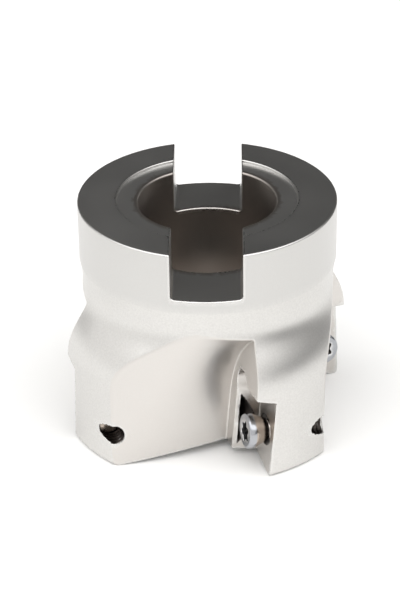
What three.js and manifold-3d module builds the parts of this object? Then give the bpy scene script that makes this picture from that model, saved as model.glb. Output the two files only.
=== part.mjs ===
// Shell-mount shoulder and face mill for four indexable inserts, shown without its inserts.
// Millimetres, +Z up, origin under the middle of the end face, back face on top.
// The key slot runs along Y. Seen from the back face the cutter turns clockwise (right-hand cut).
import * as THREE from 'three';
import { mergeVertices } from 'three/addons/utils/BufferGeometryUtils.js';
import Module from 'manifold-3d';

// ---------- driving dimensions ----------
// body
const BODY_HEIGHT = 38.6;
const TOOTH_RADIUS = 23.8;
const SHOULDER_HEIGHT = 14.6; // top of the full-radius part of the teeth
const NECK_RADIUS = 20.1;
const NECK_HEIGHT = 25.6;
const COLLAR_RADIUS = 20.5;
const COLLAR_LENGTH = 9.6;
const TOOTH_CORNER = 0.9;
const DISH_ANGLE = 9.5;
const HUB_RADIUS = 12;
const EDGE_BREAK = 0.3;
// mounting
const BORE_RADIUS = 11;
const BORE_DEPTH = 20;
const BORE_CHAMFER = 0.25;
const RECESS_RADIUS = 14.3;
const RECESS_DEPTH = 0.5;
const KEY_SLOT_WIDTH = 11;
const KEY_SLOT_DEPTH = 7.6;
const KEY_SLOT_FILLET = 0.6;
const ARBOR_SCREW_RADIUS = 5.5;
const COUNTERBORE_RADIUS = 9;
const WEB_THICKNESS = 6.4;
// teeth
const TOOTH_COUNT = 4;
const FIRST_TOOTH_ANGLE = -69;
const AXIAL_RAKE = 5;
const RADIAL_RAKE = 3;
const SEAT_SETBACK = 1.15; // seat plane behind the tooth's radial line, at the outer corner
const INSERT_THICKNESS = 3.35; // from the seat to the leading face above the pocket
const SEAT_WIDTH = 7;
const POCKET_HEIGHT = 13.4;
const POCKET_CORNER = 1.2;
const WALL_TAPER = 14;
const RELIEF_RADIUS = 1.7; // round relief for the insert's corner
const RELIEF_IN = 6.4;
const RELIEF_UP = 14.5;
const RELIEF_LIFT = 0.15;
// gullet floor: distance from the axis at the tooth, half-way and at the heel, and its run-out arcs
const GULLET_FLOOR = { tooth: 13.3, middle: 13.25, heel: 12.1 };
const GULLET_STATION = { middle: 8, heel: 17 };
const RUNOUT_START = { tooth: 10.2, middle: 0, heel: 0 };
const RUNOUT_RADIUS = { tooth: 16, middle: 60.6, heel: 108 };
// insert screws
const SCREW_RADIUS = 1.35;
const SCREW_CLEARANCE = 0.3;
const SCREW_SINK_RADIUS = 2.45;
const SCREW_SINK_DEPTH = 0.7;
const SCREW_FROM_EDGE = 3.9;
const SCREW_UP = 6.6;
const HEAD_RADIUS = 2.8;
const HEAD_RIM = 1.1;
const HEAD_CONE = 1.8;
const HEAD_NECK = 1.6; // radius where the cone ends
const SCREW_LENGTH = 10.5;
const SOCKET_RADIUS = 1.5;
const SOCKET_LOBE = -0.25;
const SOCKET_DEPTH = 1.3;
const HEAD_STANDOFF = 3.4; // head's top face in front of the seat, partly unscrewed

// ---------- faceting ----------
const ROUND = 96;
const HOLE_ROUND = 24;
const HEAD_ROUND = 36;
const PAST = 6; // how far a cutter runs past the material

const STEEL = new THREE.MeshStandardMaterial({ color: 0xc9c6c1, roughness: 0.38, metalness: 0.9 });
const SCREW_STEEL = new THREE.MeshStandardMaterial({ color: 0xb4b6ba, roughness: 0.18, metalness: 1 });

const wasm = await Module();
wasm.setup();

const rad = THREE.MathUtils.degToRad;

// ---------- solids ----------
function toSolid(geometry) {
  const bare = geometry.clone();
  bare.deleteAttribute('normal');
  bare.deleteAttribute('uv');
  const merged = mergeVertices(bare, 1e-4);
  const vertProperties = new Float32Array(merged.attributes.position.array);
  const triVerts = new Uint32Array(merged.index.array);
  return new wasm.Manifold(new wasm.Mesh({ numProp: 3, vertProperties, triVerts }));
}

function toGeometry(solid) {
  const { vertProperties, triVerts, numProp } = solid.getMesh();
  const positions = new Float32Array((vertProperties.length / numProp) * 3);
  for (let i = 0; i < positions.length / 3; i++) {
    positions.set(vertProperties.subarray(i * numProp, i * numProp + 3), i * 3);
  }
  const geometry = new THREE.BufferGeometry();
  geometry.setAttribute('position', new THREE.BufferAttribute(positions, 3));
  geometry.setIndex(new THREE.BufferAttribute(new Uint32Array(triVerts), 1));
  geometry.computeVertexNormals();
  return geometry;
}

// LatheGeometry turns about Y; this stands it up about Z. Points are (radius, height), closed by the caller.
function turned(points, segments) {
  const lathe = new THREE.LatheGeometry(points, segments);
  return lathe.rotateX(Math.PI / 2);
}

// A round bar along +Z from `from` to `to`.
function bar(radius, from, to, segments = HOLE_ROUND) {
  const cylinder = new THREE.CylinderGeometry(radius, radius, to - from, segments);
  return cylinder.rotateX(Math.PI / 2).translate(0, 0, (from + to) / 2);
}

// ---------- frames ----------
// A tooth's frame has X out through its pocket, Y behind the seat and Z up.
function toothFrame(index) {
  return new THREE.Matrix4().makeRotationZ(rad(FIRST_TOOTH_ANGLE + (360 / TOOTH_COUNT) * index));
}

// The seat's frame stands at the outer end of the seat plane: X out, Y behind the seat, Z up along it.
function seatFrame() {
  const turn = new THREE.Matrix4().makeRotationZ(rad(-RADIAL_RAKE));
  const lean = new THREE.Matrix4().makeRotationX(rad(-AXIAL_RAKE));
  const place = new THREE.Matrix4().makeTranslation(TOOTH_RADIUS, SEAT_SETBACK, 0);
  return place.multiply(turn).multiply(lean);
}

// The insert screw's frame: origin on the seat, +Z out of the seat along the screw's axis.
function screwFrame() {
  const spot = new THREE.Matrix4().makeTranslation(-SCREW_FROM_EDGE, 0, SCREW_UP);
  const tip = new THREE.Matrix4().makeRotationX(Math.PI / 2);
  return seatFrame().multiply(spot).multiply(tip);
}

// ---------- turned blank ----------
// The end face is dished: it rises from the teeth's tips at z = 0 to the flat hub.
function hubHeight() {
  return (TOOTH_RADIUS - TOOTH_CORNER - HUB_RADIUS) * Math.tan(rad(DISH_ANGLE));
}

function outsideProfile() {
  const cornerIn = TOOTH_RADIUS - TOOTH_CORNER;
  const corner = new THREE.QuadraticBezierCurve(
    new THREE.Vector2(cornerIn, 0),
    new THREE.Vector2(TOOTH_RADIUS, 0),
    new THREE.Vector2(TOOTH_RADIUS, TOOTH_CORNER),
  );
  const flareHeight = NECK_HEIGHT - SHOULDER_HEIGHT;
  const flare = new THREE.CubicBezierCurve(
    new THREE.Vector2(TOOTH_RADIUS, SHOULDER_HEIGHT),
    new THREE.Vector2(TOOTH_RADIUS, SHOULDER_HEIGHT + 0.47 * flareHeight),
    new THREE.Vector2(NECK_RADIUS, NECK_HEIGHT - 0.31 * flareHeight),
    new THREE.Vector2(NECK_RADIUS, NECK_HEIGHT),
  );
  const collarBottom = BODY_HEIGHT - COLLAR_LENGTH;
  const neck = new THREE.QuadraticBezierCurve(
    new THREE.Vector2(NECK_RADIUS, NECK_HEIGHT),
    new THREE.Vector2(NECK_RADIUS, (NECK_HEIGHT + collarBottom) / 2),
    new THREE.Vector2(COLLAR_RADIUS, collarBottom),
  );
  return [
    new THREE.Vector2(HUB_RADIUS, hubHeight()),
    ...corner.getPoints(5),
    ...flare.getPoints(14),
    ...neck.getPoints(4).slice(1),
    new THREE.Vector2(COLLAR_RADIUS, BODY_HEIGHT - EDGE_BREAK),
    new THREE.Vector2(COLLAR_RADIUS - EDGE_BREAK, BODY_HEIGHT),
  ];
}

function insideProfile() {
  const hub = hubHeight();
  const recessFloor = BODY_HEIGHT - RECESS_DEPTH;
  const boreFloor = BODY_HEIGHT - BORE_DEPTH;
  const counterboreTop = boreFloor - WEB_THICKNESS;
  return [
    new THREE.Vector2(RECESS_RADIUS, BODY_HEIGHT),
    new THREE.Vector2(RECESS_RADIUS, recessFloor),
    new THREE.Vector2(BORE_RADIUS + BORE_CHAMFER, recessFloor),
    new THREE.Vector2(BORE_RADIUS, recessFloor - BORE_CHAMFER),
    new THREE.Vector2(BORE_RADIUS, boreFloor),
    new THREE.Vector2(ARBOR_SCREW_RADIUS, boreFloor),
    new THREE.Vector2(ARBOR_SCREW_RADIUS, counterboreTop),
    new THREE.Vector2(COUNTERBORE_RADIUS, counterboreTop),
    new THREE.Vector2(COUNTERBORE_RADIUS, hub + EDGE_BREAK),
    new THREE.Vector2(COUNTERBORE_RADIUS + EDGE_BREAK, hub),
  ];
}

function blank() {
  const outside = outsideProfile();
  const profile = [...outside, ...insideProfile(), outside[0].clone()];
  return toSolid(turned(profile, ROUND));
}

// ---------- key slot ----------
function keySlot() {
  const half = KEY_SLOT_WIDTH / 2;
  const floor = BODY_HEIGHT - KEY_SLOT_DEPTH;
  const top = BODY_HEIGHT + PAST;
  const shape = new THREE.Shape();
  shape.moveTo(-half + KEY_SLOT_FILLET, floor);
  shape.lineTo(half - KEY_SLOT_FILLET, floor);
  shape.quadraticCurveTo(half, floor, half, floor + KEY_SLOT_FILLET);
  shape.lineTo(half, BODY_HEIGHT - EDGE_BREAK);
  shape.lineTo(half + EDGE_BREAK + PAST, top);
  shape.lineTo(-half - EDGE_BREAK - PAST, top);
  shape.lineTo(-half, BODY_HEIGHT - EDGE_BREAK);
  shape.lineTo(-half, floor + KEY_SLOT_FILLET);
  shape.quadraticCurveTo(-half, floor, -half + KEY_SLOT_FILLET, floor);
  const length = 2 * (COLLAR_RADIUS + PAST);
  const slot = new THREE.ExtrudeGeometry(shape, { depth: length, bevelEnabled: false, curveSegments: 3 });
  return toSolid(slot.rotateX(Math.PI / 2).translate(0, length / 2, 0));
}

// Takes the sharp edge off where a slot wall meets the collar's outside.
function slotEdgeBreaks() {
  const edgeX = KEY_SLOT_WIDTH / 2;
  const edgeY = Math.sqrt(COLLAR_RADIUS ** 2 - edgeX ** 2);
  const height = KEY_SLOT_DEPTH + PAST;
  const side = EDGE_BREAK * Math.SQRT2;
  return [[1, 1], [1, -1], [-1, 1], [-1, -1]].map(([sx, sy]) => {
    const prism = new THREE.BoxGeometry(side, side, height);
    const turn = Math.PI / 4 + (Math.atan2(edgeX, edgeY) / 2) * -sx * sy;
    prism.rotateZ(turn).translate(sx * edgeX, sy * edgeY, BODY_HEIGHT - KEY_SLOT_DEPTH + height / 2);
    return toSolid(prism);
  });
}

// ---------- gullet ----------
function runoutFloor(where, height) {
  const rise = Math.max(0, height - RUNOUT_START[where]);
  const radius = RUNOUT_RADIUS[where];
  const inside = Math.min(rise, radius);
  return GULLET_FLOOR[where] + radius - Math.sqrt(radius ** 2 - inside ** 2);
}

// Distance of the gullet floor from the axis, `ahead` of the leading face and at a height:
// a parabola through the floor's three run-out sections.
function gulletFloor(ahead, height) {
  const { middle, heel } = GULLET_STATION;
  const atTooth = ((ahead - middle) * (ahead - heel)) / (middle * heel);
  const atMiddle = (ahead * (ahead - heel)) / (middle * (middle - heel));
  const atHeel = (ahead * (ahead - middle)) / (heel * (heel - middle));
  return atTooth * runoutFloor('tooth', height)
    + atMiddle * runoutFloor('middle', height)
    + atHeel * runoutFloor('heel', height);
}

// The leading face of the tooth above the pocket, as a distance behind the tooth's radial line.
function leadingFace(height) {
  const lean = Math.tan(rad(AXIAL_RAKE));
  return SEAT_SETBACK - INSERT_THICKNESS / Math.cos(rad(AXIAL_RAKE)) + height * lean;
}

function gullet() {
  const reach = TOOTH_RADIUS + PAST;
  const low = -PAST;
  const high = NECK_HEIGHT + 1;
  const block = new THREE.BoxGeometry(1, 1, 1, 1, 12, 22);
  const place = block.attributes.position;
  for (let i = 0; i < place.count; i++) {
    const height = low + (place.getZ(i) + 0.5) * (high - low);
    const ahead = (0.5 - place.getY(i)) * reach;
    const inner = place.getX(i) < 0;
    const out = inner ? gulletFloor(ahead, height) : TOOTH_RADIUS + PAST;
    place.setXYZ(i, out, leadingFace(height) - ahead, height);
  }
  return toSolid(block);
}

// ---------- pocket ----------
function pocket() {
  const shape = new THREE.Shape();
  shape.moveTo(PAST, -PAST);
  shape.lineTo(PAST, POCKET_HEIGHT);
  shape.lineTo(-SEAT_WIDTH + POCKET_CORNER, POCKET_HEIGHT);
  shape.quadraticCurveTo(-SEAT_WIDTH, POCKET_HEIGHT, -SEAT_WIDTH, POCKET_HEIGHT - POCKET_CORNER);
  shape.lineTo(-SEAT_WIDTH, -PAST);
  shape.closePath();
  const depth = INSERT_THICKNESS + PAST / 2;
  const block = new THREE.ExtrudeGeometry(shape, { depth, bevelEnabled: false, curveSegments: 4 });
  const slope = Math.tan(rad(WALL_TAPER));
  const flare = new THREE.Matrix4().makeShear(0, 0, 0, 0, -slope, slope);
  return toSolid(block.applyMatrix4(flare).rotateX(Math.PI / 2).applyMatrix4(seatFrame()));
}

// Round relief in the pocket's inner top corner, so that the insert's corner touches nothing.
function cornerRelief() {
  const spot = new THREE.Matrix4().makeTranslation(-RELIEF_IN, 0, RELIEF_UP);
  const tip = new THREE.Matrix4().makeRotationX(Math.PI / 2);
  const cutter = bar(RELIEF_RADIUS, RELIEF_LIFT, INSERT_THICKNESS + PAST / 2);
  return toSolid(cutter.applyMatrix4(seatFrame().multiply(spot).multiply(tip)));
}

function screwHole() {
  const radius = SCREW_RADIUS + SCREW_CLEARANCE;
  const through = toSolid(bar(radius, -2 * PAST - SCREW_LENGTH, PAST / 2).applyMatrix4(screwFrame()));
  const sink = new THREE.CylinderGeometry(
    2 * SCREW_SINK_RADIUS - radius,
    radius,
    2 * SCREW_SINK_DEPTH,
    HOLE_ROUND,
  );
  const mouth = toSolid(sink.rotateX(Math.PI / 2).applyMatrix4(screwFrame()));
  return through.add(mouth);
}

// ---------- cutter body ----------
function cutterBody() {
  let solid = blank().subtract(keySlot());
  for (const edge of slotEdgeBreaks()) {
    solid = solid.subtract(edge);
  }
  const toothCut = gullet().add(pocket()).add(cornerRelief()).add(screwHole());
  for (let i = 0; i < TOOTH_COUNT; i++) {
    solid = solid.subtract(toothCut.transform(toothFrame(i).elements));
  }
  const mesh = new THREE.Mesh(toGeometry(solid), STEEL.clone());
  mesh.name = 'cutter_body';
  return mesh;
}

// ---------- insert screws ----------
function socketShape() {
  const shape = new THREE.Shape();
  const steps = 48;
  const points = Array.from({ length: steps }, (_, i) => {
    const angle = (i / steps) * 2 * Math.PI;
    const radius = SOCKET_RADIUS + SOCKET_LOBE * Math.cos(6 * angle);
    return new THREE.Vector2(radius * Math.cos(angle), radius * Math.sin(angle));
  });
  return shape.setFromPoints(points);
}

// The screw stands along +Z with its head's top face at z = 0.
function screwSolid() {
  const profile = [
    new THREE.Vector2(0, -SCREW_LENGTH),
    new THREE.Vector2(SCREW_RADIUS - 0.5, -SCREW_LENGTH),
    new THREE.Vector2(SCREW_RADIUS, -SCREW_LENGTH + 0.5),
    new THREE.Vector2(SCREW_RADIUS, -HEAD_RIM - HEAD_CONE),
    new THREE.Vector2(HEAD_NECK, -HEAD_RIM - HEAD_CONE),
    new THREE.Vector2(HEAD_RADIUS - 0.1, -HEAD_RIM),
    new THREE.Vector2(HEAD_RADIUS, -HEAD_RIM + 0.15),
    new THREE.Vector2(HEAD_RADIUS, -0.5),
    new THREE.Vector2(HEAD_RADIUS - 0.12, -0.2),
    new THREE.Vector2(HEAD_RADIUS - 0.45, 0),
    new THREE.Vector2(0, 0),
  ];
  const socket = new THREE.ExtrudeGeometry(socketShape(), { depth: SOCKET_DEPTH + 1, bevelEnabled: false });
  socket.translate(0, 0, -SOCKET_DEPTH);
  return toSolid(turned(profile, HEAD_ROUND)).subtract(toSolid(socket));
}

function insertScrew(index) {
  const lift = new THREE.Matrix4().makeTranslation(0, 0, HEAD_STANDOFF);
  const mesh = new THREE.Mesh(toGeometry(screwSolid()), SCREW_STEEL.clone());
  mesh.applyMatrix4(toothFrame(index).multiply(screwFrame()).multiply(lift));
  mesh.name = `insert_screw_${'abcdefgh'[index]}`;
  return mesh;
}

// ---------- assembly ----------
const faceMill = new THREE.Group();
faceMill.add(cutterBody());
for (let i = 0; i < TOOTH_COUNT; i++) {
  faceMill.add(insertScrew(i));
}

export default faceMill;
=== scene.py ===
"""Looks of a shell-mount shoulder and face mill with four insert pockets and no inserts.

The cutter body and the insert screws are described as distance fields in millimetres, made into fine
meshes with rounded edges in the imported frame, and given procedural metal finishes.
"""

import logging
import math
from dataclasses import dataclass, field
from enum import Enum
from typing import Callable

import bmesh
import bpy
import numpy as np
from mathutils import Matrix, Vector


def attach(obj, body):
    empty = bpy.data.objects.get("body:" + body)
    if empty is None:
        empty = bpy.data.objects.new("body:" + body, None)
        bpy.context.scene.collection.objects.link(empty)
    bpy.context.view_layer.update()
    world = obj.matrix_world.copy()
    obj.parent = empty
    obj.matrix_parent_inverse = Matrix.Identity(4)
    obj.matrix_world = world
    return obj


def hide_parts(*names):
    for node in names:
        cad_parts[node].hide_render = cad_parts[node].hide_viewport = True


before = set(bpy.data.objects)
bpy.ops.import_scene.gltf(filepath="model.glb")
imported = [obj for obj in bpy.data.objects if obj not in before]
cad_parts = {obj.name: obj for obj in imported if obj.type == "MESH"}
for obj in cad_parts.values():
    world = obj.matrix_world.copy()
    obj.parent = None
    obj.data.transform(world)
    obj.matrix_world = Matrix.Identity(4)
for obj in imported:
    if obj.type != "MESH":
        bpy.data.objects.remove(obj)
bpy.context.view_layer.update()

log = logging.getLogger("face_mill")
MM = 0.001
Field = Callable[[np.ndarray], np.ndarray]
KEY_STRIDE = 4096  # more cells than lie along any edge of the searched box


# ---------------------------------------------------------------- distance fields


def round_max(a: np.ndarray, b: np.ndarray, radius: float) -> np.ndarray:
    """Intersect two fields and round the edge between them.

    Args:
        a: first signed distance, negative inside.
        b: second signed distance.
        radius: rounding of the edge, in millimetres.

    Returns:
        The signed distance of what lies in both.
    """
    if radius <= 0:
        return np.maximum(a, b)
    over = np.sqrt(np.maximum(a + radius, 0) ** 2 + np.maximum(b + radius, 0) ** 2)
    return np.minimum(np.maximum(a, b), -radius) + over


def cut(solid: np.ndarray, tool: np.ndarray, radius: float) -> np.ndarray:
    """Take a tool's space out of a solid, with the rim rounded to a radius."""
    return round_max(solid, -tool, radius)


def turn_z(points: np.ndarray, degrees: float) -> np.ndarray:
    """Turn points about the cutter's axis.

    Args:
        points: rows of x, y, z.
        degrees: angle by the right-hand rule.

    Returns:
        The turned points.
    """
    c, s = math.cos(math.radians(degrees)), math.sin(math.radians(degrees))
    x, y, z = points.T
    return np.stack([c * x - s * y, s * x + c * y, z], axis=1)


def turn_x(points: np.ndarray, degrees: float) -> np.ndarray:
    """Turn points about the X axis, by the right-hand rule."""
    c, s = math.cos(math.radians(degrees)), math.sin(math.radians(degrees))
    x, y, z = points.T
    return np.stack([x, c * y - s * z, s * y + c * z], axis=1)


@dataclass(frozen=True)
class SurfaceNet:
    """Makes a fine mesh of a field's zero surface.

    Attributes:
        voxel: edge of a sampling cell, in millimetres.
        block: cells along the edge of a block; blocks away from the surface are skipped.
    """

    voxel: float
    block: int = 8

    def near_blocks(self, shape: Field, low: np.ndarray, high: np.ndarray) -> np.ndarray:
        """Find the blocks that the surface may pass through.

        Args:
            shape: the field.
            low: lowest corner of the searched box.
            high: highest corner of the searched box.

        Returns:
            Integer block positions, one row each.
        """
        size = self.voxel * self.block
        counts = np.ceil((high - low) / size).astype(int)
        grid = np.stack(np.meshgrid(*[np.arange(n) for n in counts], indexing="ij"), -1).reshape(-1, 3)
        distance = np.abs(shape(low + (grid + 0.5) * size))
        return grid[distance < size * 1.25]

    def sample(self, shape: Field, low: np.ndarray, blocks: np.ndarray) -> np.ndarray:
        """Sample the field at every corner of the blocks' cells.

        Args:
            shape: the field.
            low: lowest corner of the box.
            blocks: block positions.

        Returns:
            One cube of values per block.
        """
        n = self.block + 1
        inner = np.stack(np.meshgrid(*[np.arange(n)] * 3, indexing="ij"), -1).reshape(-1, 3)
        values = np.empty((len(blocks), n**3), np.float32)
        step = 1500
        for start in range(0, len(blocks), step):
            some = blocks[start : start + step]
            corners = low + (some[:, None, :] * self.block + inner[None]) * self.voxel
            values[start : start + step] = shape(corners.reshape(-1, 3)).reshape(len(some), -1)
        return values.reshape(-1, n, n, n)

    def surface(self, shape: Field, low: np.ndarray, high: np.ndarray) -> tuple[np.ndarray, np.ndarray]:
        """Find the surface as points and four-sided faces.

        Args:
            shape: the field.
            low: lowest corner of the box, clear of the surface.
            high: highest corner of the box, clear of the surface.

        Returns:
            The points, and rows of four point numbers with the faces pointing out.
        """
        blocks = self.near_blocks(shape, low, high)
        values = self.sample(shape, low, blocks)
        inside = values < 0
        cells = self.crossed_cells(inside)
        owner, i, j, k = np.nonzero(cells)
        place = blocks[owner] * self.block + np.stack([i, j, k], 1)
        points = self.cell_points(values, owner, i, j, k)
        keys = self.key(place)
        order = np.argsort(keys)
        faces = self.faces(inside, blocks, keys[order], order)
        return low + (place + points) * self.voxel, faces

    @staticmethod
    def crossed_cells(inside: np.ndarray) -> np.ndarray:
        """Mark the cells that have corners on both sides of the surface.

        Args:
            inside: which corners are inside the solid, block by block.

        Returns:
            One truth value for each cell.
        """
        count = sum(
            inside[:, a : a - 1 or None, b : b - 1 or None, c : c - 1 or None].astype(np.int8)
            for a in (0, 1)
            for b in (0, 1)
            for c in (0, 1)
        )
        return (count > 0) & (count < 8)

    @staticmethod
    def key(place: np.ndarray) -> np.ndarray:
        """One number for each cell position."""
        return (place[:, 0] * KEY_STRIDE + place[:, 1]) * KEY_STRIDE + place[:, 2]

    @staticmethod
    def cell_points(values: np.ndarray, owner: np.ndarray, *cell: np.ndarray) -> np.ndarray:
        """Middle of the crossings of each cell's twelve edges, in cell units.

        Args:
            values: the blocks' cubes of values.
            owner: block number of each cell.
            cell: the three positions of each cell in its block.

        Returns:
            One point in each cell.
        """
        total = np.zeros((len(owner), 3), np.float32)
        hits = np.zeros(len(owner), np.float32)
        for axis in range(3):
            for a in (0, 1):
                for b in (0, 1):
                    start = [0, 0, 0]
                    start[(axis + 1) % 3], start[(axis + 2) % 3] = a, b
                    end = list(start)
                    end[axis] = 1
                    v0 = values[(owner, *(c + o for c, o in zip(cell, start)))]
                    v1 = values[(owner, *(c + o for c, o in zip(cell, end)))]
                    crossed = (v0 < 0) != (v1 < 0)
                    share = np.where(crossed, v0 / np.where(crossed, v0 - v1, 1), 0)
                    spot = np.tile(np.array(start, np.float32), (len(owner), 1))
                    spot[:, axis] = share
                    total += spot * crossed[:, None]
                    hits += crossed
        return total / hits[:, None]

    def faces(
        self, inside: np.ndarray, blocks: np.ndarray, keys: np.ndarray, order: np.ndarray
    ) -> np.ndarray:
        """Join the cells round each crossed edge into faces.

        Args:
            inside: which corners are inside the solid.
            blocks: block positions.
            keys: sorted cell keys.
            order: point number of each sorted key.

        Returns:
            Rows of four point numbers.
        """
        found = []
        n = self.block
        for axis in range(3):
            ends = [slice(0, n)] * 3
            ends[axis] = slice(1, n + 1)
            starts = [slice(0, n)] * 3
            near = inside[(slice(None), *starts)]
            far = inside[(slice(None), *ends)]
            owner, *cell = np.nonzero(near != far)
            leaving = near[(owner, *cell)]
            place = blocks[owner] * n + np.stack(cell, 1)
            u, v = np.eye(3, dtype=int)[(axis + 1) % 3], np.eye(3, dtype=int)[(axis + 2) % 3]
            around = [place, place - u, place - u - v, place - v]
            keep = np.all(np.stack([p.min(1) >= 0 for p in around]), axis=0)
            corners = [self.look_up(self.key(p), keys, order) for p in around]
            face = np.stack(corners, 1)
            face[~leaving] = face[~leaving][:, ::-1]
            found.append(face[keep & (face.min(1) >= 0)])
        return np.concatenate(found)

    @staticmethod
    def look_up(wanted: np.ndarray, keys: np.ndarray, order: np.ndarray) -> np.ndarray:
        """Point number of each wanted cell, or -1."""
        spot = np.clip(np.searchsorted(keys, wanted), 0, len(keys) - 1)
        return np.where(keys[spot] == wanted, order[spot], -1)


def gradient(shape: Field, points: np.ndarray, step: float = 0.01) -> np.ndarray:
    """Slope of a field at some points, by small steps both ways.

    Args:
        shape: the field.
        points: rows of x, y, z.
        step: length of a step, in millimetres.

    Returns:
        One slope for each point.
    """
    columns = []
    for axis in range(3):
        offset = np.zeros(3)
        offset[axis] = step
        columns.append((shape(points + offset) - shape(points - offset)) / (2 * step))
    return np.stack(columns, axis=1)


def facing(shape: Field, points: np.ndarray) -> np.ndarray:
    """Unit direction of a field's slope at some points."""
    slope = gradient(shape, points)
    return slope / np.maximum(np.linalg.norm(slope, axis=1), 1e-6)[:, None]


def settle(shape: Field, points: np.ndarray, limit: float) -> np.ndarray:
    """Move points onto the field's zero surface, by at most a limit each time.

    Args:
        shape: the field.
        points: rows of x, y, z.
        limit: longest move of one pass, in millimetres.

    Returns:
        The moved points.
    """
    for _ in range(2):
        slope = gradient(shape, points)
        square = np.maximum((slope**2).sum(1), 0.05)
        points = points - slope * np.clip(shape(points) / square, -limit, limit)[:, None]
    return points


def mesh_object(name: str, points: np.ndarray, faces: np.ndarray) -> bpy.types.Object:
    """Make a linked mesh object from points in millimetres.

    Args:
        name: name of the object and its mesh.
        points: rows of x, y, z in millimetres.
        faces: rows of point numbers.

    Returns:
        The object, at the origin.
    """
    mesh = bpy.data.meshes.new(name)
    corners = faces.shape[1]
    mesh.vertices.add(len(points))
    mesh.vertices.foreach_set("co", (points * MM).astype(np.float32).ravel())
    mesh.loops.add(faces.size)
    mesh.loops.foreach_set("vertex_index", faces.astype(np.int32).ravel())
    mesh.polygons.add(len(faces))
    mesh.polygons.foreach_set("loop_start", np.arange(0, faces.size, corners, dtype=np.int32))
    mesh.update(calc_edges=True)
    mesh.validate()
    thing = bpy.data.objects.new(name, mesh)
    bpy.context.scene.collection.objects.link(thing)
    return thing


def mesh_points(thing: bpy.types.Object) -> np.ndarray:
    """The mesh's points in millimetres."""
    flat = np.empty(len(thing.data.vertices) * 3, np.float32)
    thing.data.vertices.foreach_get("co", flat)
    return flat.reshape(-1, 3).astype(float) / MM


def thin_out(thing: bpy.types.Object, triangles: int) -> None:
    """Reduce a mesh to a number of triangles where it is flattest.

    Args:
        thing: the object whose mesh is reduced.
        triangles: about how many triangles stay.
    """
    now = sum(len(p.vertices) - 2 for p in thing.data.polygons)
    if now <= triangles:
        return
    modifier = thing.modifiers.new("thin_out", "DECIMATE")
    modifier.ratio = triangles / now
    evaluated = thing.evaluated_get(bpy.context.evaluated_depsgraph_get())
    reduced = bpy.data.meshes.new_from_object(evaluated)
    thing.modifiers.remove(modifier)
    old, thing.data = thing.data, reduced
    bpy.data.meshes.remove(old)
    reduced.name = thing.name


def split_long_edges(thing: bpy.types.Object, longest: float) -> None:
    """Halve long edges until none is longer than a limit, so that masks and normals stay local.

    Args:
        thing: the object whose mesh is refined.
        longest: the limit, in millimetres.
    """
    mesh = bmesh.new()
    mesh.from_mesh(thing.data)
    for _ in range(4):
        bmesh.ops.triangulate(mesh, faces=[f for f in mesh.faces if len(f.verts) > 3])
        edges = [e for e in mesh.edges if e.calc_length() > longest * MM]
        if not edges:
            break
        bmesh.ops.subdivide_edges(mesh, edges=edges, cuts=1)
    bmesh.ops.triangulate(mesh, faces=[f for f in mesh.faces if len(f.verts) > 3])
    mesh.to_mesh(thing.data)
    mesh.free()


def settle_mesh(thing: bpy.types.Object, shape: Field, limit: float) -> None:
    """Move a mesh's points onto the field's zero surface."""
    points = settle(shape, mesh_points(thing), limit)
    thing.data.vertices.foreach_set("co", (points * MM).astype(np.float32).ravel())
    thing.data.update()


def smooth_by_field(thing: bpy.types.Object, shape: Field) -> None:
    """Shade a mesh with the exact normals of its field.

    Args:
        thing: the object.
        shape: the field that it was made from.
    """
    normals = facing(shape, mesh_points(thing))
    thing.data.polygons.foreach_set("use_smooth", np.ones(len(thing.data.polygons), bool))
    thing.data.normals_split_custom_set_from_vertices(normals.tolist())


def store_masks(thing: bpy.types.Object, **masks: np.ndarray) -> None:
    """Keep numbers for each point on the mesh, under their names, for a material to read."""
    for name, values in masks.items():
        layer = thing.data.attributes.new(name, "FLOAT", "POINT")
        layer.data.foreach_set("value", values.astype(np.float32))


# ---------------------------------------------------------------- the cutter body


@dataclass(frozen=True)
class RunOut:
    """One section of the gullet floor: straight up, then an arc away from the axis.

    Attributes:
        ahead: distance of the section ahead of the tooth's leading face.
        floor: distance of the straight part from the axis.
        start: height where the arc starts.
        radius: radius of the arc.
    """

    ahead: float
    floor: float
    start: float
    radius: float

    def reach(self, height: np.ndarray) -> np.ndarray:
        """Distance of the floor from the axis at some heights."""
        rise = np.clip(height - self.start, 0, self.radius * 0.98)
        return self.floor + self.radius - np.sqrt(self.radius**2 - rise**2)


@dataclass(frozen=True)
class ToothSizes:
    """Sizes of a tooth, its gullet and its pocket, in millimetres and degrees."""

    count: int = 4
    first_angle: float = -69.0
    axial_rake: float = 5.0
    radial_rake: float = 3.0
    seat_setback: float = 1.15
    insert_thickness: float = 3.35
    seat_width: float = 7.0
    pocket_height: float = 13.4
    pocket_corner: float = 1.2
    wall_taper: float = 14.0
    screw_from_edge: float = 3.9
    screw_up: float = 6.6
    screw_hole: float = 1.65
    sink_radius: float = 2.45
    sink_depth: float = 0.7
    relief_radius: float = 1.7
    relief_in: float = 6.4
    relief_up: float = 14.5
    relief_blend: float = 1.3
    thread_pitch: float = 0.7
    thread_depth: float = 0.1
    reach_ahead: float = 3.0
    sections: tuple[RunOut, RunOut, RunOut] = (
        RunOut(0, 13.3, 10.2, 16),
        RunOut(8, 13.25, 0, 60.6),
        RunOut(17, 12.1, 0, 108),
    )


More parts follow.
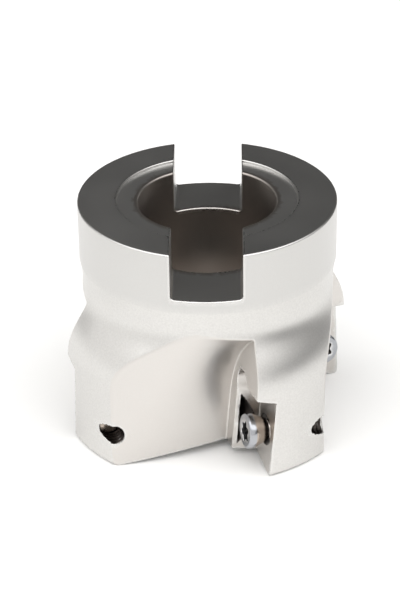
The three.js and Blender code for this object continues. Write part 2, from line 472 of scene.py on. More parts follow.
@dataclass
class CutterBody:
    """The milled steel body with its collar, bore, key slot, gullets and pockets.

    Attributes are sizes in millimetres, apart from the angle of the dished end face, in degrees.
    """

    height: float = 38.6
    tooth_radius: float = 23.8
    shoulder: float = 14.6
    neck_radius: float = 20.1
    neck_height: float = 25.6
    collar_radius: float = 20.5
    collar_length: float = 9.6
    tooth_corner: float = 0.9
    dish: float = 9.5
    hub_radius: float = 12.0
    bore_radius: float = 11.0
    bore_depth: float = 20.0
    bore_chamfer: float = 0.35
    recess_radius: float = 14.3
    recess_depth: float = 0.5
    slot_width: float = 11.0
    slot_depth: float = 7.6
    slot_fillet: float = 0.6
    screw_hole: float = 5.5
    counterbore: float = 9.0
    web: float = 6.4
    top_edge: float = 0.3
    edge: float = 0.22
    fine_edge: float = 0.12
    triangles: int = 150_000
    longest_edge: float = 1.3
    settle_limit: float = 0.05
    tooth: ToothSizes = field(default_factory=ToothSizes)

    def outside(self, radius: np.ndarray, height: np.ndarray) -> np.ndarray:
        """Distance outside the turned outline of teeth, neck and collar.

        Args:
            radius: distances from the cutter's axis.
            height: heights above the floor.

        Returns:
            The distances, negative inside.
        """
        flare = self.neck_height - self.shoulder
        t = np.linspace(0, 1, 60)
        wide, slim = self.tooth_radius, self.neck_radius
        bend_r = (1 - t) ** 2 * (1 + 2 * t) * wide + t**2 * (3 - 2 * t) * slim
        heights = (0, 0.47 * flare, 0.69 * flare, flare)
        bend_z = self.shoulder + (
            3 * (1 - t) ** 2 * t * heights[1] + 3 * (1 - t) * t**2 * heights[2] + t**3 * heights[3]
        )
        collar = self.height - self.collar_length
        s = np.linspace(0, 1, 20)[1:]
        neck_r = slim + s**2 * (self.collar_radius - slim)
        neck_z = self.neck_height + s * (collar - self.neck_height)
        r = np.concatenate([[wide], bend_r, neck_r, [self.collar_radius]])
        z = np.concatenate([[-20], bend_z, neck_z, [self.height + 20]])
        slope = np.gradient(r, z)
        here = np.interp(height, z, r)
        lean = np.interp(height, z, slope)
        return (radius - here) / np.sqrt(1 + lean**2)

    def blank(self, points: np.ndarray) -> np.ndarray:
        """The turned blank before any milling.

        Args:
            points: rows of x, y, z.

        Returns:
            The distances, negative inside.
        """
        x, y, z = points.T
        radius = np.hypot(x, y)
        tip = self.tooth_radius - self.tooth_corner
        tangent = math.tan(math.radians(self.dish))
        under = np.clip(tip - radius, 0, tip - self.hub_radius) * tangent - z
        solid = round_max(self.outside(radius, z), under * math.cos(math.radians(self.dish)), 0.8)
        solid = round_max(solid, z - self.height, self.top_edge)
        recess = np.maximum(radius - self.recess_radius, self.height - self.recess_depth - z)
        solid = cut(solid, recess, self.edge)
        bore_floor = self.height - self.bore_depth
        solid = cut(solid, np.maximum(radius - self.bore_radius, bore_floor - z), self.bore_chamfer)
        solid = cut(solid, radius - self.screw_hole, self.edge)
        under_web = z - (bore_floor - self.web)
        return cut(solid, np.maximum(radius - self.counterbore, under_web), self.edge)

    def key_slot(self, points: np.ndarray) -> np.ndarray:
        """The key slot's space, with rounded bottom corners."""
        walls = np.abs(points[:, 0]) - self.slot_width / 2
        floor = self.height - self.slot_depth - points[:, 2]
        return round_max(walls, floor, self.slot_fillet)

    def to_seat(self, points: np.ndarray) -> np.ndarray:
        """Bring points from a tooth's frame to its seat's: x out, y behind the seat, z up along it."""
        shift = np.array([self.tooth_radius, self.tooth.seat_setback, 0])
        return turn_x(turn_z(points - shift, self.tooth.radial_rake), self.tooth.axial_rake)

    def leading_face(self, height: np.ndarray) -> np.ndarray:
        """Place of the leading face above the pocket, behind the tooth's radial line."""
        lean = math.radians(self.tooth.axial_rake)
        thick = self.tooth.insert_thickness / math.cos(lean)
        return self.tooth.seat_setback - thick + height * math.tan(lean)

    def gullet(self, points: np.ndarray) -> np.ndarray:
        """The chip gullet ahead of one tooth, in the tooth's frame.

        Args:
            points: rows of x, y, z.

        Returns:
            The distances, negative in the gullet.
        """
        x, y, z = points.T
        face = self.leading_face(z)
        ahead = np.clip(face - y, 0, 26)
        near, middle, heel = self.tooth.sections
        m, h = middle.ahead, heel.ahead
        floor = (
            (ahead - m) * (ahead - h) / (m * h) * near.reach(z)
            + ahead * (ahead - h) / (m * (m - h)) * middle.reach(z)
            + ahead * (ahead - m) / (h * (h - m)) * heel.reach(z)
        )
        steep = 1 + 0.9 * np.clip((z - 12) / 13, 0, 1) * np.clip(1 - ahead / 12, 0.15, 1)
        return round_max((floor - x) / steep, (y - face) * 0.996, 0.25)

    def pocket(self, seat: np.ndarray) -> np.ndarray:
        """The insert pocket's space, in the seat's frame.

        Args:
            seat: points in the seat's frame.

        Returns:
            The distances, negative in the pocket.
        """
        x, y, z = seat.T
        t = self.tooth
        taper = math.radians(t.wall_taper)
        wall = (-t.seat_width + y * math.tan(taper) - x) * math.cos(taper)
        roof = (z - t.pocket_height + y * math.tan(taper)) * math.cos(taper)
        space = round_max(wall, roof, t.pocket_corner)
        relief = np.hypot(x + t.relief_in, z - t.relief_up) - t.relief_radius
        space = -round_max(-space, -relief, t.relief_blend)
        space = round_max(space, y, 0.15)
        return np.maximum(space, -y - t.insert_thickness - t.reach_ahead)

    def screw_space(self, seat: np.ndarray) -> np.ndarray:
        """The tapped screw hole with its countersunk mouth, in the seat's frame.

        Args:
            seat: points in the seat's frame.

        Returns:
            The distances, negative in the hole.
        """
        t = self.tooth
        radius = np.hypot(seat[:, 0] + t.screw_from_edge, seat[:, 2] - t.screw_up)
        behind = seat[:, 1]
        turn = np.arctan2(seat[:, 2] - t.screw_up, seat[:, 0] + t.screw_from_edge) / (2 * math.pi)
        groove = np.abs(((behind / t.thread_pitch + turn) % 1) - 0.5) * 2
        hole = (radius - t.screw_hole - t.thread_depth * (0.5 - groove)) * 0.93
        mouth = (radius - t.sink_radius + behind * (t.sink_radius - t.screw_hole) / t.sink_depth) * 0.87
        mouth = np.maximum(mouth, behind - t.sink_depth)
        return np.maximum(np.minimum(hole, mouth), -behind - t.reach_ahead)

    def tooth_cuts(self, solid: np.ndarray, points: np.ndarray) -> np.ndarray:
        """Mill every tooth's gullet, pocket and holes.

        Args:
            solid: the blank's distance at the points.
            points: rows of x, y, z.

        Returns:
            The distance of the milled body.
        """
        result = solid.copy()
        angle = np.degrees(np.arctan2(points[:, 1], points[:, 0]))
        for index in range(self.tooth.count):
            where = self.tooth.first_angle + index * 360 / self.tooth.count
            from_tooth = (angle - where + 180) % 360 - 180
            near = (from_tooth > -100) & (from_tooth < 60) & (points[:, 2] < self.neck_height + 3)
            local = turn_z(points[near], -where)
            seat = self.to_seat(local)
            part = cut(result[near], self.gullet(local), self.edge)
            part = cut(part, self.pocket(seat), self.fine_edge)
            result[near] = cut(part, self.screw_space(seat), self.fine_edge)
        return result

    def shape(self, points: np.ndarray) -> np.ndarray:
        """The whole body's field."""
        solid = cut(self.blank(points), self.key_slot(points), self.edge)
        return self.tooth_cuts(solid, points)

    def build(self) -> bpy.types.Object:
        """Make the body's mesh with its finish masks.

        Returns:
            The body's object.
        """
        net = SurfaceNet(voxel=0.16)
        low = np.array([-25.0, -25.0, -1.0])
        high = np.array([25.0, 25.0, 39.6])
        points, faces = net.surface(self.shape, low, high)
        points = settle(self.shape, points, net.voxel)
        thing = mesh_object("milled_body", points, faces)
        thin_out(thing, self.triangles)
        split_long_edges(thing, self.longest_edge)
        settle_mesh(thing, self.shape, self.settle_limit)
        smooth_by_field(thing, self.shape)
        self.add_masks(thing)
        return thing

    def add_masks(self, thing: bpy.types.Object) -> None:
        """Store where edges are worn, which faces were ground or milled, and where painted shade goes in the
        pockets, the bore and the screw holes.

        Args:
            thing: the body's object.
        """
        points = mesh_points(thing)
        slope = facing(self.shape, points)
        inward = self.shape(points - slope * 0.35)
        edge = np.clip((inward + 0.35) / 0.14, 0, 1)
        radius = np.hypot(points[:, 0], points[:, 1])
        up = np.clip((slope[:, 2] - 0.8) / 0.1, 0, 1)
        top = up * (points[:, 2] > self.height - self.slot_depth - 0.5)
        bored = (radius < self.bore_radius + 0.6) & (points[:, 2] > self.height - self.bore_depth - 1)
        collar = np.clip((points[:, 2] - self.height + self.collar_length + 0.1) / 0.2, 0, 1)
        store_masks(thing, edge=edge, ground=np.maximum(top, bored), bored=bored, collar=collar)
        # the pocket and hole masks, like the bore's, mark where the finish paints shade
        milled, pocket, hole = np.zeros((3, len(points)))
        for index in range(self.tooth.count):
            where = self.tooth.first_angle + index * 360 / self.tooth.count
            local = turn_z(points, -where)
            near = (local[:, 0] > 5) & (points[:, 2] < self.neck_height + 3)
            seat = self.to_seat(local[near])
            milled[near] = np.maximum(milled[near], np.abs(self.gullet(local[near])) < 0.15)
            pocket[near] = np.maximum(pocket[near], np.abs(self.pocket(seat)) < 0.2)
            hole[near] = np.maximum(hole[near], self.screw_space(seat) < 0.1)
        store_masks(thing, milled=milled, pocket=pocket, hole=hole)


# ---------------------------------------------------------------- insert screws


@dataclass
class InsertScrew:
    """A conical-head insert screw with a six-lobe socket, standing along +Z with its top at z = 0."""

    head_radius: float = 2.8
    rim: float = 1.1
    cone: float = 2.1
    neck: float = 1.92
    shank: float = 1.62
    thread_depth: float = 0.26
    pitch: float = 0.7
    length: float = 10.5
    socket_radius: float = 1.5
    socket_lobe: float = 0.25
    socket_depth: float = 1.3
    standoff: float = 3.4
    triangles: int = 40_000

    def shape(self, points: np.ndarray) -> np.ndarray:
        """The screw's field.

        Args:
            points: rows of x, y, z.

        Returns:
            The distances, negative inside.
        """
        x, y, z = points.T
        radius = np.hypot(x, y)
        angle = np.arctan2(y, x)
        head = round_max(radius - self.head_radius, z, 0.42)
        slope = (self.head_radius - self.neck) / self.cone
        cone = (radius - self.head_radius - (z + self.rim) * slope) / math.hypot(1, slope)
        head = round_max(head, cone, 0.15)
        thread_top = -self.rim - self.cone - 0.1
        wave = np.abs(((z / self.pitch - angle / (2 * math.pi)) % 1) - 0.5) * 2
        fade = np.clip((thread_top - z) / 0.5, 0, 1)
        crest = self.shank - self.thread_depth * np.clip(wave * 1.25 - 0.2, 0, 1) * fade
        shank = np.maximum((radius - crest) * 0.75, z + self.rim)
        end = round_max(shank, -z - self.length, 0.35)
        solid = np.minimum(np.maximum(head, -z - self.rim - self.cone), end)
        lobes = self.socket_radius + self.socket_lobe * np.cos(6 * angle + math.pi)
        socket = np.maximum((radius - lobes) * 0.75, -z - self.socket_depth + radius * 0.12)
        return cut(solid, socket, 0.09)

    def build(self) -> bpy.types.Object:
        """Make the master screw that the four are copied from.

        Returns:
            The screw's object.
        """
        net = SurfaceNet(voxel=0.07)
        low = np.array([-3.3, -3.3, -self.length - 0.5])
        high = np.array([3.3, 3.3, 0.5])
        points, faces = net.surface(self.shape, low, high)
        points = settle(self.shape, points, net.voxel)
        thing = mesh_object("screw_master", points, faces)
        thin_out(thing, self.triangles)
        smooth_by_field(thing, self.shape)
        self.add_masks(thing)
        return thing

    def add_masks(self, thing: bpy.types.Object) -> None:
        """Store the edges, the socket, the cone and the distance that turned lines run across.

        Args:
            thing: the screw's object.
        """
        points = mesh_points(thing)
        slope = facing(self.shape, points)
        inward = self.shape(points - slope * 0.2)
        edge = np.clip((inward + 0.2) / 0.09, 0, 1)
        radius = np.hypot(points[:, 0], points[:, 1])
        depth = points[:, 2]
        inner = radius < self.socket_radius + self.socket_lobe + 0.1
        # the socket mask places painted shade in the six-lobe socket
        socket = inner & (depth < -0.15) & (depth > -self.socket_depth - 0.3)
        turned = np.where(np.abs(slope[:, 2]) > 0.7, radius, -depth)
        store_masks(thing, edge=edge, socket=socket, cone=depth < -self.rim - 0.05, turned=turned)


# ---------------------------------------------------------------- screws set round the cutter


@dataclass(frozen=True)
class Socket:
    """One named input of a node tree."""

    name: str
    kind: str
    value: object = None


class Wiring:
    """Adds and joins the nodes of one tree."""

    def __init__(self, tree: bpy.types.NodeTree) -> None:
        """Take a tree to work on."""
        self.tree = tree

    def add(self, kind: str, values: dict | None = None, **settings: object) -> bpy.types.Node:
        """Add a node, set it, and join or fill its inputs.

        Args:
            kind: Blender's name for the node.
            values: what goes in each input: a value, or another node's output.
            settings: the node's own properties.

        Returns:
            The node.
        """
        node = self.tree.nodes.new(kind)
        for name, setting in settings.items():
            setattr(node, name, setting)
        self.fill(node, values or {})
        return node

    def fill(self, node: bpy.types.Node, values: dict) -> None:
        """Join each input, by name or number, to an output, or set its value."""
        for name, value in values.items():
            if isinstance(value, bpy.types.NodeSocket):
                self.tree.links.new(value, node.inputs[name])
            else:
                node.inputs[name].default_value = value

    def math(self, operation: str, *values: object, clamp: bool = False) -> bpy.types.NodeSocket:
        """Add a Math node and give its output."""
        node = self.add("ShaderNodeMath", dict(enumerate(values)), operation=operation)
        node.use_clamp = clamp
        return node.outputs[0]

    def centred(self, value: object, amount: float) -> bpy.types.NodeSocket:
        """Shift a value by half and scale it, so that it varies about zero."""
        return self.math("MULTIPLY", self.math("SUBTRACT", value, 0.5), amount)

    def pick(self, share: object, one: object, other: object) -> bpy.types.NodeSocket:
        """Mix two numbers by a share."""
        return self.add("ShaderNodeMix", {0: share, 2: one, 3: other}).outputs[0]

    def group(self, tree: bpy.types.NodeTree, **values: object) -> bpy.types.bpy_prop_collection:
        """Add a shared group, join or fill its inputs by name, and give its outputs."""
        node = self.add("ShaderNodeGroup", node_tree=tree)
        self.fill(node, values)
        return node.outputs

    def give(self, **results: bpy.types.NodeSocket) -> bpy.types.NodeTree:
        """Join results to the group's outputs, by name, and give its tree."""
        for name, result in results.items():
            self.tree.links.new(result, self.tree.nodes["out"].inputs[name])
        return self.tree

    def attribute(self, name: str) -> bpy.types.NodeSocket:
        """Give a mask stored on the mesh."""
        return self.add("ShaderNodeAttribute", attribute_name=name).outputs["Fac"]

    def blend(self, share: object, one: object, other: object) -> bpy.types.NodeSocket:
        """Mix two colours by a share.

        Args:
            share: how much of the second, as a value or an output.
            one: the first colour.
            other: the second colour.

        Returns:
            The mixed colour.
        """
        node = self.add("ShaderNodeMix", data_type="RGBA")
        self.fill(node, {0: share, 6: one, 7: other})
        return node.outputs[2]


def node_group(kind: str, name: str, inputs: list[Socket], outputs: list[Socket]) -> Wiring:
    """Make a node group with its named sockets, and nodes for its two ends.

    Args:
        kind: Blender's name for the tree type.
        name: the group's name.
        inputs: its inputs.
        outputs: its outputs.

    Returns:
        The group's wiring, whose ends are called "in" and "out".
    """
    tree = bpy.data.node_groups.new(name, kind)
    for way, sockets in (("INPUT", inputs), ("OUTPUT", outputs)):
        for wanted in sockets:
            made = tree.interface.new_socket(wanted.name, in_out=way, socket_type=wanted.kind)
            if wanted.value is not None:
                made.default_value = wanted.value
    wiring = Wiring(tree)
    wiring.add("NodeGroupInput", name="in")
    wiring.add("NodeGroupOutput", name="out")
    return wiring


@dataclass
class ScrewSet:
    """The four insert screws, set round the cutter by a node tree.

    Attributes:
        tooth: the teeth's sizes, which give the screws' places.
        letters: end of each screw's name, in the order of the teeth.
    """

    tooth: ToothSizes = field(default_factory=ToothSizes)
    letters: str = "abcd"

    def tree(self) -> bpy.types.NodeTree:
        """Build the tree that stands one screw of the ring on its seat.

        Returns:
            The tree.
        """
        number, whole = "NodeSocketFloat", "NodeSocketInt"
        w = node_group(
            "GeometryNodeTree",
            "screws_round_cutter",
            [
                Socket("Screw", "NodeSocketGeometry"),
                Socket("Seats", whole, 4),
                Socket("Seat", whole, 0),
                Socket("First angle", number, 0.0),
                Socket("Seat radius", number, 0.02),
                Socket("Seat setback", number, 0.001),
                Socket("From edge", number, 0.003),
                Socket("Up the seat", number, 0.006),
                Socket("Standoff", number, 0.003),
                Socket("Axial rake", number, 0.0),
                Socket("Radial rake", number, 0.0),
                Socket("Finish", "NodeSocketMaterial"),
            ],
            [Socket("Geometry", "NodeSocketGeometry")],
        )
        given = w.tree.nodes["in"].outputs
        spot = w.add(
            "ShaderNodeCombineXYZ",
            {
                "X": w.math("MULTIPLY", given["From edge"], -1.0),
                "Y": w.math("MULTIPLY", given["Standoff"], -1.0),
                "Z": given["Up the seat"],
            },
        )
        stood = w.add(
            "GeometryNodeTransform",
            {
                "Geometry": given["Screw"],
                "Translation": spot.outputs[0],
                "Rotation": (math.pi / 2, 0.0, 0.0),
            },
        )
        lean = w.add("ShaderNodeCombineXYZ", {"X": w.math("MULTIPLY", given["Axial rake"], -1.0)})
        leaned = w.add("GeometryNodeTransform", {"Geometry": stood.outputs[0], "Rotation": lean.outputs[0]})
        turn = w.add("ShaderNodeCombineXYZ", {"Z": w.math("MULTIPLY", given["Radial rake"], -1.0)})
        place = w.add("ShaderNodeCombineXYZ", {"X": given["Seat radius"], "Y": given["Seat setback"]})
        seated = w.add(
            "GeometryNodeTransform",
            {"Geometry": leaned.outputs[0], "Rotation": turn.outputs[0], "Translation": place.outputs[0]},
        )
        ring = w.add("GeometryNodePoints", {"Count": given["Seats"]})
        index = w.add("GeometryNodeInputIndex").outputs[0]
        chosen = w.add(
            "FunctionNodeCompare",
            {2: index, 3: given["Seat"]},
            data_type="INT",
            operation="EQUAL",
        )
        step = w.math("DIVIDE", 2 * math.pi, given["Seats"])
        angle = w.math("ADD", given["First angle"], w.math("MULTIPLY", index, step))
        facing = w.add("ShaderNodeCombineXYZ", {"Z": angle})
        spin = w.add("FunctionNodeEulerToRotation", {"Euler": facing.outputs[0]})
        copies = w.add(
            "GeometryNodeInstanceOnPoints",
            {
                "Points": ring.outputs[0],
                "Selection": chosen.outputs[0],
                "Instance": seated.outputs[0],
                "Rotation": spin.outputs[0],
            },
        )
        real = w.add("GeometryNodeRealizeInstances", {"Geometry": copies.outputs[0]})
        dressed = w.add(
            "GeometryNodeSetMaterial", {"Geometry": real.outputs[0], "Material": given["Finish"]}
        )
        return w.give(Geometry=dressed.outputs[0])

    def build(self, master: bpy.types.Object, finish: bpy.types.Material) -> list[bpy.types.Object]:
        """Copy the master screw to every seat as a plain mesh.

        Args:
            master: the screw, standing at the origin.
            finish: its material.

        Returns:
            One object per seat.
        """
        tree = self.tree()
        sizes = {
            "Seats": self.tooth.count,
            "First angle": math.radians(self.tooth.first_angle),
            "Seat radius": CutterBody.tooth_radius * MM,
            "Seat setback": self.tooth.seat_setback * MM,
            "From edge": self.tooth.screw_from_edge * MM,
            "Up the seat": self.tooth.screw_up * MM,
            "Standoff": InsertScrew.standoff * MM,
            "Axial rake": math.radians(self.tooth.axial_rake),
            "Radial rake": math.radians(self.tooth.radial_rake),
            "Finish": finish,
        }
        socket = {s.name: s.identifier for s in tree.interface.items_tree if s.in_out == "INPUT"}
        made = []
        for seat, letter in enumerate(self.letters):
            modifier = master.modifiers.new("screws_round_cutter", "NODES")
            modifier.node_group = tree
            for name, value in {**sizes, "Seat": seat}.items():
                modifier[socket[name]] = value
            evaluated = master.evaluated_get(bpy.context.evaluated_depsgraph_get())
            mesh = bpy.data.meshes.new_from_object(evaluated)
            master.modifiers.remove(modifier)
            mesh.name = f"pocket_screw_{letter}"
            thing = bpy.data.objects.new(mesh.name, mesh)
            bpy.context.scene.collection.objects.link(thing)
            made.append(thing)
        return made


# ---------------------------------------------------------------- finishes


class Grain(Enum):
    """Sizes of surface grain, as texture scale per metre."""

    SATIN = 3600.0
    POLISHED = 22000.0


class Effects:
    """Shader groups that more than one finish uses, each built once."""

    def __init__(self) -> None:
        """Build the groups."""
        self.grain = self.fine_grain()
        self.lines = self.tool_lines()
        self.wear = self.edge_wear()

    @staticmethod
    def fine_grain() -> bpy.types.NodeTree:
        """Irregular fine relief with wide, faint patches.

        Returns:
            The group.
        """
        w = node_group(
            "ShaderNodeTree",
            "fine_grain",
            [Socket("Scale", "NodeSocketFloat", 9000.0)],
            [Socket("Height", "NodeSocketFloat"), Socket("Patches", "NodeSocketFloat")],
        )
        scale = w.tree.nodes["in"].outputs["Scale"]
        coords = w.add("ShaderNodeTexCoord").outputs["Object"]
        fine = w.add("ShaderNodeTexNoise", {"Vector": coords, "Scale": scale, "Detail": 3.0})
        wide = w.add(
            "ShaderNodeTexNoise",
            {"Vector": coords, "Scale": w.math("MULTIPLY", scale, 0.013), "Detail": 5.0},
        )
        return w.give(Height=fine.outputs["Fac"], Patches=wide.outputs["Fac"])

    @staticmethod
    def tool_lines() -> bpy.types.NodeTree:
        """Lines left by a tool, across a distance measured on the piece in millimetres.

        Returns:
            The group.
        """
        w = node_group(
            "ShaderNodeTree",
            "tool_lines",
            [Socket("Distance", "NodeSocketFloat", 0.0), Socket("Pitch", "NodeSocketFloat", 0.15)],
            [Socket("Height", "NodeSocketFloat")],
        )
        given = w.tree.nodes["in"].outputs
        steps = w.math("DIVIDE", given["Distance"], given["Pitch"])
        uneven = w.add("ShaderNodeTexNoise", {"W": steps, "Scale": 1.0, "Detail": 2.0}, noise_dimensions="1D")
        even = w.math("SINE", w.math("MULTIPLY", steps, math.pi))
        return w.give(Height=w.math("ADD", uneven.outputs["Fac"], w.math("MULTIPLY", even, 0.12)))

    @staticmethod
    def edge_wear() -> bpy.types.NodeTree:
        """Where edges are rubbed bright, with an uneven border.

        Returns:
            The group.
        """
        w = node_group(
            "ShaderNodeTree",
            "edge_wear",
            [Socket("Amount", "NodeSocketFloat", 1.0), Socket("Scale", "NodeSocketFloat", 900.0)],
            [Socket("Mask", "NodeSocketFloat")],
        )
        given = w.tree.nodes["in"].outputs
        coords = w.add("ShaderNodeTexCoord").outputs["Object"]
        noise = w.add("ShaderNodeTexNoise", {"Vector": coords, "Scale": given["Scale"], "Detail": 4.0})
        gaps = w.math("MULTIPLY", w.math("SUBTRACT", 1.0, noise.outputs["Fac"]), 0.6)
        broken = w.math("SUBTRACT", w.attribute("edge"), gaps)
        return w.give(Mask=w.math("MULTIPLY", w.math("MULTIPLY", broken, 1.6, clamp=True), given["Amount"]))


def new_material(name: str) -> tuple[bpy.types.Material, Wiring, bpy.types.Node]:
    """Make an empty node material.

    Args:
        name: the material's name.

    Returns:
        The material, its wiring and its Principled shader.
    """
    material = bpy.data.materials.new(name)
    material.use_nodes = True
    wiring = Wiring(material.node_tree)
    return material, wiring, material.node_tree.nodes["Principled BSDF"]


@dataclass(frozen=True)
class SatinNickel:
    """Satin nickel plate over milled steel, rubbed brighter at the edges, toned slightly darker on the collar
    and the milled gullets, with painted shade darkening the insert pockets (with warm bounce light), the bore
    and the screw holes.
    """

    name: str = "satin_nickel_plate"
    plate: tuple[float, float, float, float] = (0.70, 0.69, 0.672, 1)
    dark_plate: tuple[float, float, float, float] = (0.60, 0.588, 0.57, 1)
    collar_plate: tuple[float, float, float, float] = (0.595, 0.588, 0.575, 1)
    edge_plate: tuple[float, float, float, float] = (0.68, 0.672, 0.655, 1)
    milled_plate: tuple[float, float, float, float] = (0.655, 0.628, 0.602, 1)
    # painted shade with warm bounce light for the insert pockets, where shade falls
    painted_pocket_shade: tuple[float, float, float, float] = (0.58, 0.55, 0.52, 1)
    # painted shade: a darker brown for the bore's walls and floor, where shade falls inside the hole
    painted_bore_shade: tuple[float, float, float, float] = (0.40, 0.368, 0.343, 1)
    # painted shade: nearly black for the tapped screw holes
    painted_hole_shade: tuple[float, float, float, float] = (0.05, 0.043, 0.04, 1)
    roughness: float = 0.33
    ground_roughness: float = 0.34

    def build(self, effects: Effects) -> bpy.types.Material:
        """Make the material.

        Args:
            effects: the shared groups.

        Returns:
            The material.
        """
        material, w, shader = new_material(self.name)
        grain = w.group(effects.grain, Scale=Grain.SATIN.value)
        wear = w.group(effects.wear)["Mask"]
        tone = w.math("ADD", w.math("MULTIPLY", grain["Patches"], 0.7), w.centred(grain["Height"], 1.6))
        colour = w.blend(tone, self.plate, self.dark_plate)
        plates = {"collar": self.collar_plate, "milled": self.milled_plate, "pocket": self.painted_pocket_shade}
        # the pocket entry paints shade and warm bounce light into the insert pockets; the collar and milled
        # entries are the plate's own tones
        for mask, plate in plates.items():
            colour = w.blend(w.math("MULTIPLY", w.attribute(mask), 0.8), colour, plate)
        # painted shade: the bore is darkened and the tapped screw holes are painted nearly black
        for mask, plate in {"bored": self.painted_bore_shade, "hole": self.painted_hole_shade}.items():
            colour = w.blend(w.attribute(mask), colour, plate)
        colour = w.blend(wear, colour, self.edge_plate)
        rough = w.pick(w.attribute("ground"), self.roughness, self.ground_roughness)
        varied = w.math("ADD", rough, w.centred(grain["Patches"], 0.16))
        shader.inputs["Metallic"].default_value = 1.0
        w.tree.links.new(colour, shader.inputs["Base Color"])
        rubbed = w.math("SUBTRACT", varied, w.math("MULTIPLY", wear, 0.1))
        w.tree.links.new(rubbed, shader.inputs["Roughness"])
        w.tree.links.new(self.relief(w, effects, grain["Height"]), shader.inputs["Normal"])
        return material

    def relief(self, w: Wiring, effects: Effects, grain: bpy.types.NodeSocket) -> bpy.types.NodeSocket:
        """Join the grain and the tool's lines into one bumped normal.

        Args:
            w: the material's wiring.
            effects: the shared groups.
            grain: height of the material's grain.

        Returns:
            The normal.
        """
        place = w.add("ShaderNodeSeparateXYZ", {0: w.add("ShaderNodeTexCoord").outputs["Object"]}).outputs
        facing = w.add("ShaderNodeSeparateXYZ", {0: w.add("ShaderNodeNewGeometry").outputs["Normal"]}).outputs
        across = w.math("SQRT", w.math("ADD", w.math("POWER", place[0], 2.0), w.math("POWER", place[1], 2.0)))
        flat = w.math("GREATER_THAN", w.math("ABSOLUTE", facing[2]), 0.7)
        distance = w.math("MULTIPLY", w.pick(flat, place[2], across), 1000.0)
        lines = w.group(effects.lines, Distance=distance, Pitch=0.22)["Height"]
        cut_lines = w.math("MULTIPLY", lines, w.pick(w.attribute("ground"), 0.25, 1.0))
        height = w.math("ADD", w.math("MULTIPLY", grain, 0.5), cut_lines)
        return w.add(
            "ShaderNodeBump", {"Height": height, "Strength": 0.4, "Distance": 0.000015}
        ).outputs[0]


@dataclass(frozen=True)
class ScrewSteel:
    """Bright turned steel with a heat-treated cone, and painted shade that makes the six-lobe socket nearly
    black.
    """

    name: str = "bright_screw_steel"
    bright: tuple[float, float, float, float] = (0.42, 0.43, 0.455, 1)
    # painted shade: nearly black for the six-lobe socket
    painted_socket_shade: tuple[float, float, float, float] = (0.10, 0.095, 0.09, 1)
    cone: tuple[float, float, float, float] = (0.42, 0.36, 0.31, 1)
    edge: tuple[float, float, float, float] = (0.72, 0.72, 0.73, 1)

    def build(self, effects: Effects) -> bpy.types.Material:
        """Make the material.

        Args:
            effects: the shared groups.

        Returns:
            The material.
        """
        material, w, shader = new_material(self.name)
        grain = w.group(effects.grain, Scale=Grain.POLISHED.value)
        wear = w.group(effects.wear)["Mask"]
        lines = w.group(effects.lines, Distance=w.attribute("turned"), Pitch=0.09)["Height"]
        colour = w.blend(w.attribute("cone"), self.bright, self.cone)
        # painted shade: the socket is coloured nearly black
        colour = w.blend(w.attribute("socket"), colour, self.painted_socket_shade)
        colour = w.blend(wear, colour, self.edge)
        shader.inputs["Metallic"].default_value = 1.0
        w.tree.links.new(colour, shader.inputs["Base Color"])
        w.tree.links.new(w.math("ADD", 0.2, w.centred(grain["Patches"], 0.2)), shader.inputs["Roughness"])
        height = w.math("ADD", lines, w.math("MULTIPLY", grain["Height"], 0.4))
        bump = w.add("ShaderNodeBump", {"Height": height, "Strength": 0.4, "Distance": 0.00001})
        w.tree.links.new(bump.outputs[0], shader.inputs["Normal"])
        return material


# ---------------------------------------------------------------- floor, lights, camera


@dataclass(frozen=True)
class SoftLight:
    """A rectangular soft light that points at the cutter.

    Attributes:
        name: name of the light.
        place: its middle, in millimetres.
        size: its two edge lengths, in millimetres.
        watts: its power.
    """

    name: str
    place: tuple[float, float, float]
    size: tuple[float, float]
    watts: float

    def build(self) -> None:
        """Hang the light."""
        data = bpy.data.lights.new(self.name, "AREA")
        data.shape = "RECTANGLE"
        data.size, data.size_y = self.size[0] * MM, self.size[1] * MM
        data.energy = self.watts
        lamp = bpy.data.objects.new(self.name, data)
        lamp.location = [v * MM for v in self.place]
        aim = Vector((0, 0, 0.02)) - lamp.location
        lamp.rotation_euler = aim.to_track_quat("-Z", "Y").to_euler()
        bpy.context.scene.collection.objects.link(lamp)


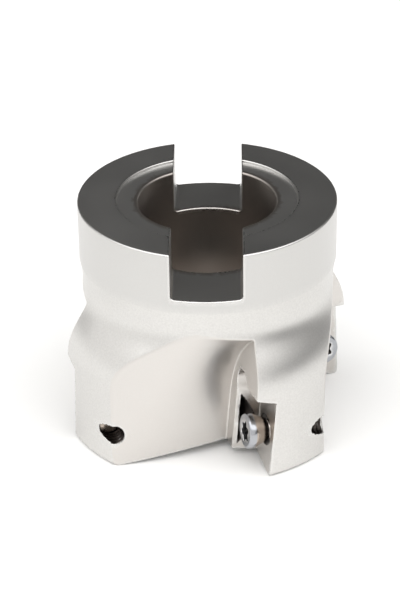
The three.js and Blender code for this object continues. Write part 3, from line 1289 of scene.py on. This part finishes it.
@dataclass(frozen=True)
class Studio:
    """Pale floor, soft light, graded surround and the camera.

    Attributes:
        azimuth: turn of the camera about the cutter, in degrees.
        elevation: rise of the camera above the floor, in degrees.
        distance: from the camera to its target, in millimetres.
        roll: turn of the camera about its line of sight, in radians.
        target: the point that the camera looks at, in millimetres.
        lens: focal length, in millimetres.
        surround_behind: brightness of the surround behind the cutter.
        surround_right: brightness of its low patch at the right.
        surround_ahead: brightness of the rest of it.
        lights: the soft lights.
    """

    azimuth: float = 1.03
    elevation: float = 29.52
    distance: float = 330.22
    roll: float = -0.0141
    target: tuple[float, float, float] = (-1.346, -0.024, 19.87)
    lens: float = 122.26
    surround_behind: float = 0.05
    surround_right: float = 0.2
    surround_ahead: float = 1.05
    lights: tuple[SoftLight, ...] = (
        SoftLight("top_softbox", (0, -180, 620), (1800, 860), 5.6),
    )

    def build(self) -> None:
        """Set up the floor, the lights, the surround and the camera."""
        self.floor()
        for light in self.lights:
            light.build()
        world = bpy.data.worlds.new("studio_surround")
        world.use_nodes = True
        w = Wiring(world.node_tree)
        way = w.add("ShaderNodeSeparateXYZ", {0: w.add("ShaderNodeTexCoord").outputs["Generated"]})
        right = self.ramp(w, way.outputs[0], (0.55, 0.85), (0.0, 1.0))
        low = self.ramp(w, way.outputs[2], (0.2, 0.5), (1.0, 0.0))
        gap = w.math("MULTIPLY", right, low)
        ahead = w.pick(gap, self.surround_ahead, self.surround_right)
        side = self.ramp(w, way.outputs[1], (0.25, 0.6), (0.0, 1.0))
        shade = w.pick(side, ahead, self.surround_behind)
        background = world.node_tree.nodes["Background"]
        background.inputs["Color"].default_value = (1, 0.99, 0.975, 1)
        world.node_tree.links.new(shade, background.inputs["Strength"])
        bpy.context.scene.world = world
        bpy.context.scene.view_settings.view_transform = "Standard"
        self.camera()

    @staticmethod
    def ramp(
        w: Wiring, value: bpy.types.NodeSocket, source: tuple[float, float], result: tuple[float, float]
    ) -> bpy.types.NodeSocket:
        """Ease from one number to another as a value crosses a range.

        Args:
            w: the tree's wiring.
            value: the value.
            source: ends of its range.
            result: the numbers at those ends.

        Returns:
            The eased number.
        """
        inputs = {"Value": value, "From Min": source[0], "From Max": source[1]}
        inputs |= {"To Min": result[0], "To Max": result[1]}
        return w.add("ShaderNodeMapRange", inputs, interpolation_type="SMOOTHSTEP").outputs[0]

    def floor(self) -> None:
        """Lay the pale floor under the teeth."""
        half = 2500.0
        corners = np.array([[-half, -half, 0], [half, -half, 0], [half, half, 0], [-half, half, 0]])
        thing = mesh_object("floor", corners, np.array([[0, 1, 2, 3]]))
        material, _, shader = new_material("pale_floor")
        shader.inputs["Base Color"].default_value = (0.92, 0.92, 0.915, 1)
        shader.inputs["Roughness"].default_value = 0.9
        shader.inputs["Specular IOR Level"].default_value = 0.1
        thing.data.materials.append(material)

    def camera(self) -> None:
        """Stand the camera in front of the key slot, looking down on the cutter."""
        turn, rise = math.radians(self.azimuth), math.radians(self.elevation)
        back = Vector(
            (math.sin(turn) * math.cos(rise), -math.cos(turn) * math.cos(rise), math.sin(rise))
        )
        right = Vector((math.cos(turn), math.sin(turn), 0))
        up = back.cross(right)
        c, s = math.cos(self.roll), math.sin(self.roll)
        right, up = right * c + up * s, up * c - right * s
        data = bpy.data.cameras.new("camera")
        data.lens = self.lens
        data.sensor_width = 36
        data.clip_start, data.clip_end = 0.01, 20
        camera = bpy.data.objects.new("camera", data)
        matrix = camera.matrix_world.to_3x3()
        for column, axis in enumerate((right, up, back)):
            for row in range(3):
                matrix[row][column] = axis[row]
        camera.matrix_world = matrix.to_4x4()
        camera.location = (Vector(self.target) + back * self.distance) * MM
        bpy.context.scene.collection.objects.link(camera)
        bpy.context.scene.camera = camera


def dress(thing: bpy.types.Object, finish: bpy.types.Material, node: str, rides: str) -> None:
    """Give a piece its finish and its place in the frame.

    Args:
        thing: the piece.
        finish: its material.
        node: the frame's node that it stands for.
        rides: the body that it moves with.
    """
    thing.data.materials.clear()
    thing.data.materials.append(finish)
    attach(thing, rides)
    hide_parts(node)
    faces = sum(len(p.vertices) - 2 for p in thing.data.polygons)
    log.info("%s: %d triangles, on %s", thing.name, faces, rides)


def main() -> None:
    """Build, dress and stage the face mill."""
    logging.basicConfig(level=logging.INFO)
    effects = Effects()
    Studio().build()
    body = CutterBody().build()
    dress(body, SatinNickel().build(effects), "cutter_body", "cutter")
    master = InsertScrew().build()
    steel = ScrewSteel().build(effects)
    screws = ScrewSet()
    for letter, screw in zip(screws.letters, screws.build(master, steel)):
        dress(screw, steel, f"insert_screw_{letter}", f"screw_{letter}")
    bpy.data.objects.remove(master)


if __name__ == "__main__":
    main()
